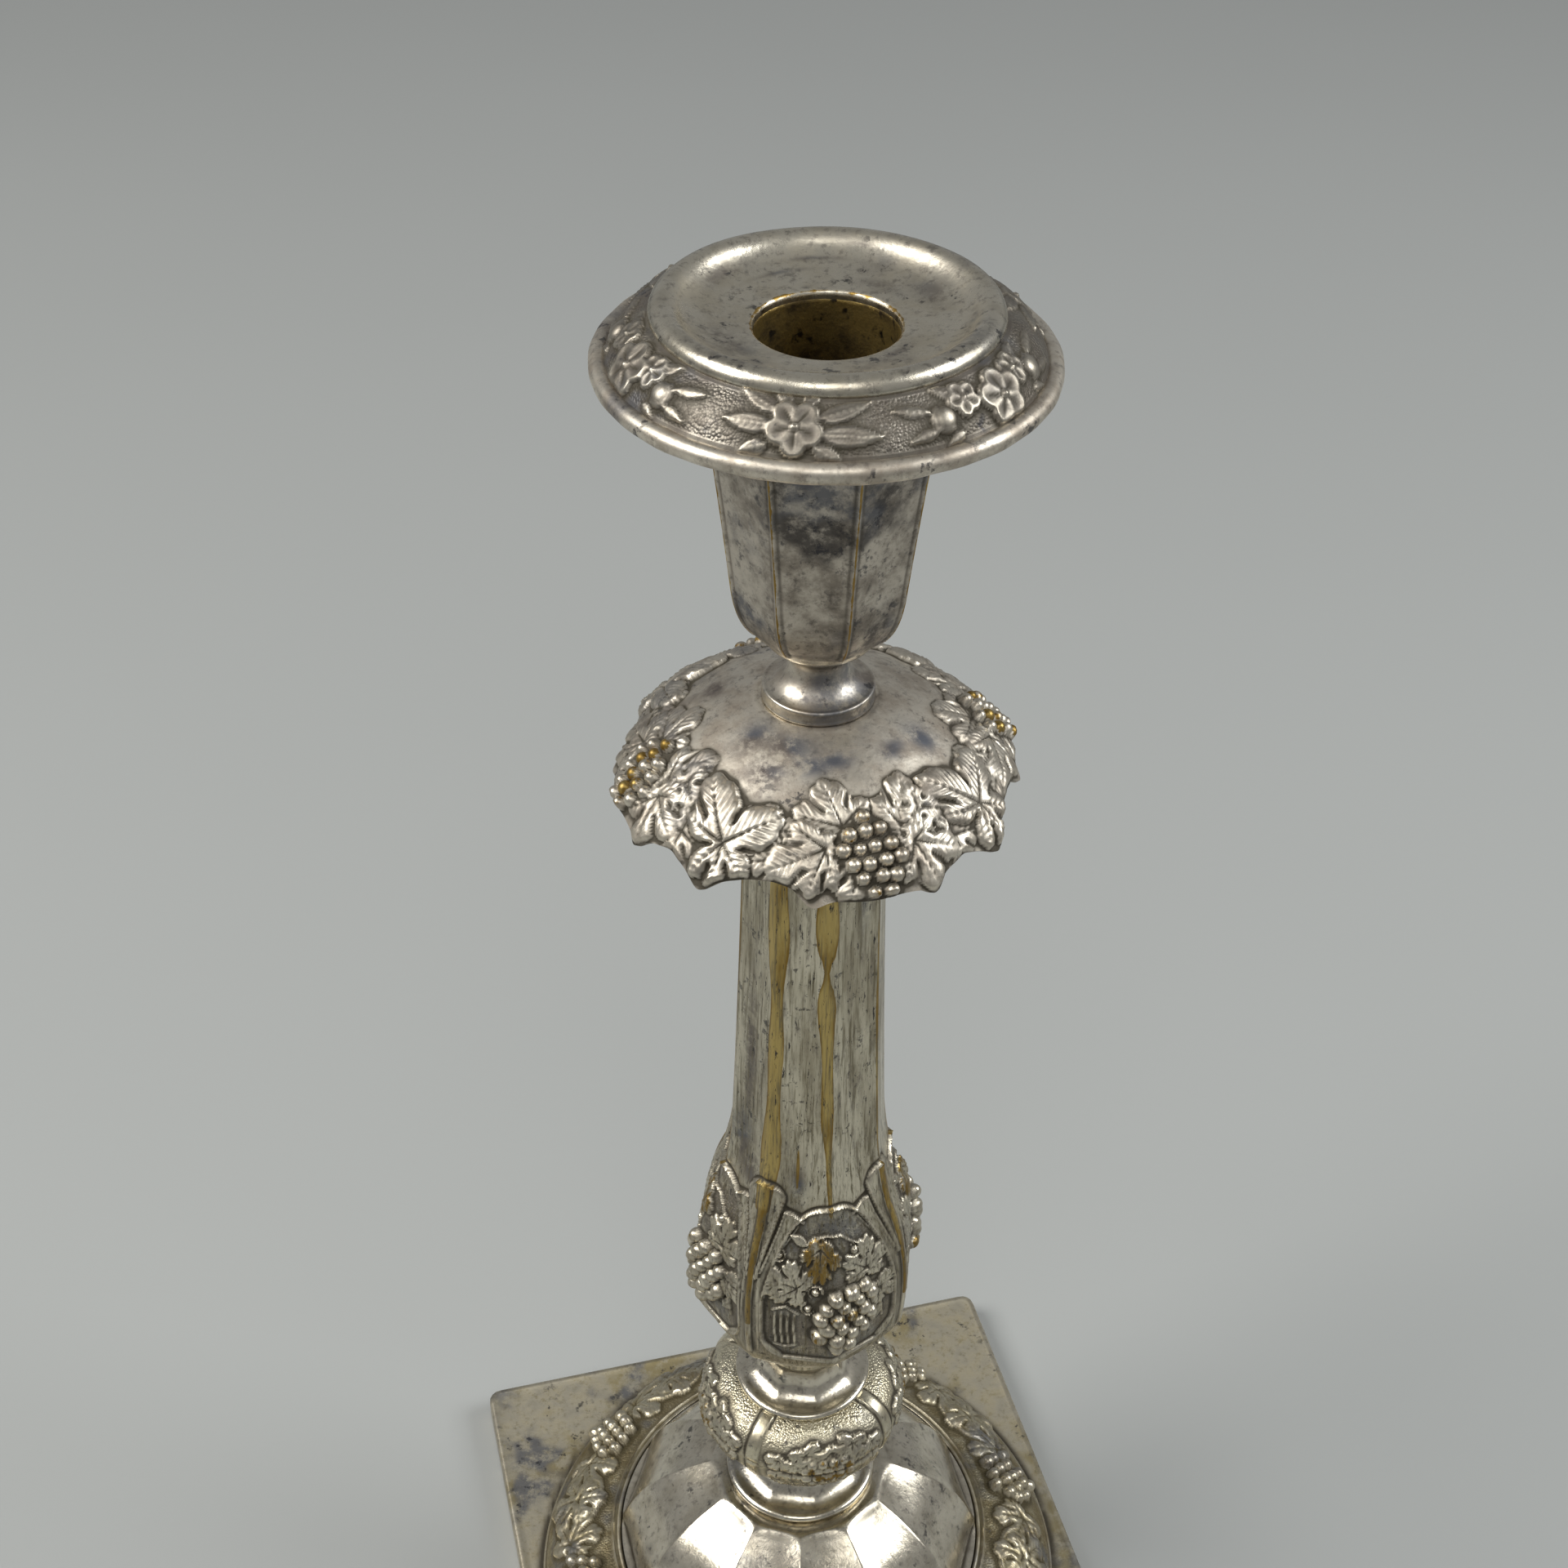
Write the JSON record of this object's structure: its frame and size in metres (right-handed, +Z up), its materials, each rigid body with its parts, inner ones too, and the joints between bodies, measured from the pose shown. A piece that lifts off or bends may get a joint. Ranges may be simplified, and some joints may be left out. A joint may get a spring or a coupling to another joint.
{
  "type": "candlestick",
  "caption": "Tall silver-plated candlestick with a square foot, knop, eight-sided baluster stem, leaf canopy, tulip socket and a lift-out nozzle with a wax dish.",
  "frame": {"origin": "on the table under the middle of the square foot", "axes": "+Z up along the tie rod; X and Y parallel to the sides of the foot"},
  "size_m": [0.1308, 0.1308, 0.3369],
  "materials": {
    "worn_silver_plate": "worn silver plate over brass, tarnished in the hollows",
    "bright_silver_plate": "polished silver plate with fine scratches",
    "bare_brass": "dull unplated brass",
    "dark_iron": "dark oxidised iron"
  },
  "bodies": {
    "stick": {"base_plate": "worn_silver_plate", "vine_ring": "worn_silver_plate", "base_dome": "bright_silver_plate", "clamp_disc": "dark_iron", "foot_washer": "dark_iron", "foot_nut": "dark_iron", "lower_spool": "bright_silver_plate", "knop_lower_shell": "worn_silver_plate", "knop_upper_shell": "worn_silver_plate", "upper_spool": "bright_silver_plate", "stem_left_half": "worn_silver_plate", "stem_right_half": "worn_silver_plate", "stem_foot_disc": "bare_brass", "stem_top_disc": "bare_brass", "canopy": "worn_silver_plate", "neck": "bright_silver_plate", "socket_cup": "bright_silver_plate", "socket_shell": "bright_silver_plate", "socket_floor": "bare_brass", "socket_sleeve": "bare_brass", "top_washer": "dark_iron", "top_nut": "dark_iron", "tie_rod": "dark_iron"},
    "nozzle": {"nozzle_tube": "bare_brass", "nozzle_stop": "bare_brass", "nozzle_dish": "bright_silver_plate", "nozzle_band": "worn_silver_plate", "nozzle_rim_wire": "bright_silver_plate"}
  },
  "joints": [
    {"name": "nozzle_lift", "type": "slide", "parent": "stick", "child": "nozzle", "axis": [0, 0, 1], "range_m": [0, 0.025]}
  ]
}
